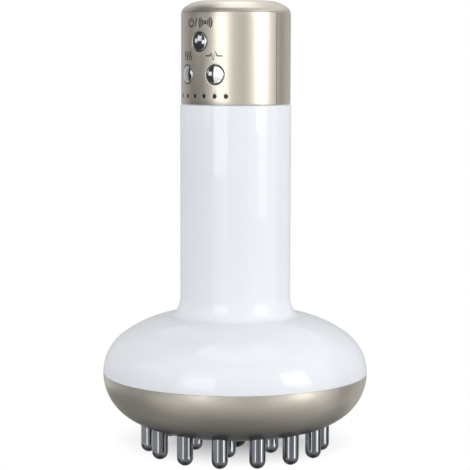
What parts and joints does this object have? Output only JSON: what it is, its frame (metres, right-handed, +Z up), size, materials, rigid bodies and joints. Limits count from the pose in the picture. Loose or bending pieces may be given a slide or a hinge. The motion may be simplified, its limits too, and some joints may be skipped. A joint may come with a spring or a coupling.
{
  "type": "electric massage brush",
  "caption": "Round massage head with rings of metal teeth under a straight handle, with a control cap of domed push buttons and indicator lights on top.",
  "frame": {"origin": "on the plane of the teeth's tips, under the middle of the head, which is on the handle's axis", "axes": "+Z up along the handle, -Y towards the middle of the control panel, +X to the right as the panel is read"},
  "size_m": [0.1002, 0.1002, 0.17],
  "materials": {
    "white_gloss_shell": "glossy",
    "gold_paint": "satin metallic lacquer",
    "gunmetal_teeth": "polished dark metal",
    "chrome_keys": "polished",
    "smoked_lens": "glossy, smoked",
    "clear_guide": "translucent",
    "dark_plastic": "matte",
    "grey_plastic": "matte",
    "white_plastic": "matte",
    "rubber_seal": "matte",
    "foam_pad": "matte",
    "brass": "satin",
    "aluminium_plate": "brushed",
    "steel": "bright",
    "iron": "dark",
    "copper_winding": "enamelled wire",
    "film": "smooth film",
    "heater_film": "smooth film",
    "board_green": "solder mask",
    "led": "translucent",
    "red_led": "translucent",
    "battery_wrap": "shrink-wrapped can",
    "red_lead": "smooth",
    "yellow_lead": "smooth",
    "blue_lead": "smooth"
  },
  "bodies": {
    "brush": {"upper_housing": "white_gloss_shell", "lower_bowl": "gold_paint", "head_seal": "rubber_seal", "head_screws": "steel", "outer_teeth": "gunmetal_teeth", "inner_teeth": "gunmetal_teeth", "outer_contact_ring": "brass", "inner_contact_ring": "brass", "insulating_film": "film", "heat_spreader": "aluminium_plate", "heating_film": "heater_film", "thermal_cutout": "white_plastic", "motor_carrier": "grey_plastic", "carrier_screws": "steel", "lamp_lens": "smoked_lens", "lamp_board": "board_green", "lamp_led": "red_led", "motor_can": "steel", "motor_magnets": "iron", "motor_endcap": "white_plastic", "motor_terminals": "brass", "motor_damper": "rubber_seal", "inner_frame": "dark_plastic", "frame_screws": "steel", "battery_cell": "battery_wrap", "battery_pad": "foam_pad", "battery_tabs": "steel", "battery_leads": "red_lead", "motor_leads": "yellow_lead", "head_leads": "blue_lead", "control_board": "board_green", "board_screws": "steel", "controller_chip": "dark_plastic", "pulse_coil": "copper_winding", "switch_carrier": "white_plastic", "switch_bodies": "dark_plastic", "switch_covers": "steel", "light_guide": "clear_guide", "indicator_leds": "led", "charge_board": "board_green", "charge_socket": "steel", "charge_tongue": "dark_plastic", "cap_shell": "gold_paint", "control_panel": "gold_paint"},
    "rotor": {"motor_shaft": "steel", "motor_armature": "copper_winding", "eccentric_weight": "iron"},
    "power_key": {"power_button": "chrome_keys", "power_plunger": "white_plastic"},
    "heat_key": {"heat_button": "chrome_keys", "heat_plunger": "white_plastic"},
    "pulse_key": {"pulse_button": "chrome_keys", "pulse_plunger": "white_plastic"}
  },
  "joints": [
    {"name": "motor_spin", "type": "hinge", "parent": "brush", "child": "rotor", "pos_m": [0, 0, 0.04], "axis": [0, 0, 1], "continuous": true},
    {"name": "power_press", "type": "slide", "parent": "brush", "child": "power_key", "axis": [0, 1, 0], "range_m": [0, 0.0005], "stiffness_N_per_m": 800},
    {"name": "heat_press", "type": "slide", "parent": "brush", "child": "heat_key", "axis": [0.3289, 0.9444, 0], "range_m": [0, 0.0005], "stiffness_N_per_m": 800},
    {"name": "pulse_press", "type": "slide", "parent": "brush", "child": "pulse_key", "axis": [-0.3289, 0.9444, 0], "range_m": [0, 0.0005], "stiffness_N_per_m": 800}
  ]
}
